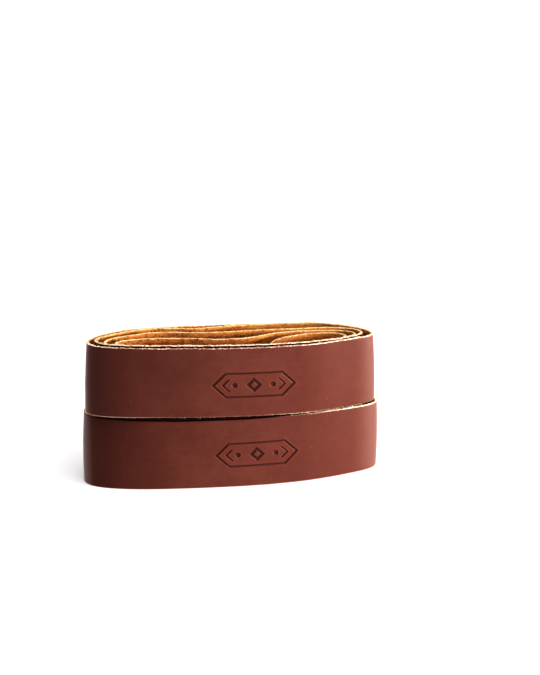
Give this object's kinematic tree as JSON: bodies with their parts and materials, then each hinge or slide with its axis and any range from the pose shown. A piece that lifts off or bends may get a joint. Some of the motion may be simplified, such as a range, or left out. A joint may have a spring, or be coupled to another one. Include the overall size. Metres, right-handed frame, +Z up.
{
  "type": "leather strop",
  "caption": "Flat strips of smooth red-brown strop leather with suede backs, wound into flattened coils that stand on edge, one on the other, for stropping cutting edges.",
  "frame": {"origin": "centre of the pair's bounding box in plan, on the table under the lower coil", "axes": "+X along the coils, to the right seen from the stamped front; -Y is the stamped front; +Z up, along the width of the strips"},
  "size_m": [0.1595, 0.0482, 0.0764],
  "materials": {
    "strop_leather": "smooth vegetable-tanned grain outside, tan suede flesh side inside, raw cream cut edges"
  },
  "bodies": {
    "lower_coil": {"lower_strop": "strop_leather"},
    "lower_end": {"lower_strop_end": "strop_leather"},
    "upper_coil": {"upper_strop": "strop_leather"},
    "upper_end": {"upper_strop_end": "strop_leather"}
  },
  "joints": [
    {"name": "upper_lift", "type": "slide", "parent": "lower_coil", "child": "upper_coil", "axis": [0, 0, 1], "range_m": [0, 0.06]},
    {"name": "lower_peel", "type": "hinge", "parent": "lower_coil", "child": "lower_end", "pos_m": [-0.032, 0.01665, 0.019], "axis": [0, 0, 1], "range_deg": [0, 60], "stiffness_Nm_per_rad": 0.01},
    {"name": "upper_peel", "type": "hinge", "parent": "upper_coil", "child": "upper_end", "pos_m": [-0.026, 0.02125, 0.0574], "axis": [0, 0, 1], "range_deg": [0, 60], "stiffness_Nm_per_rad": 0.01}
  ]
}
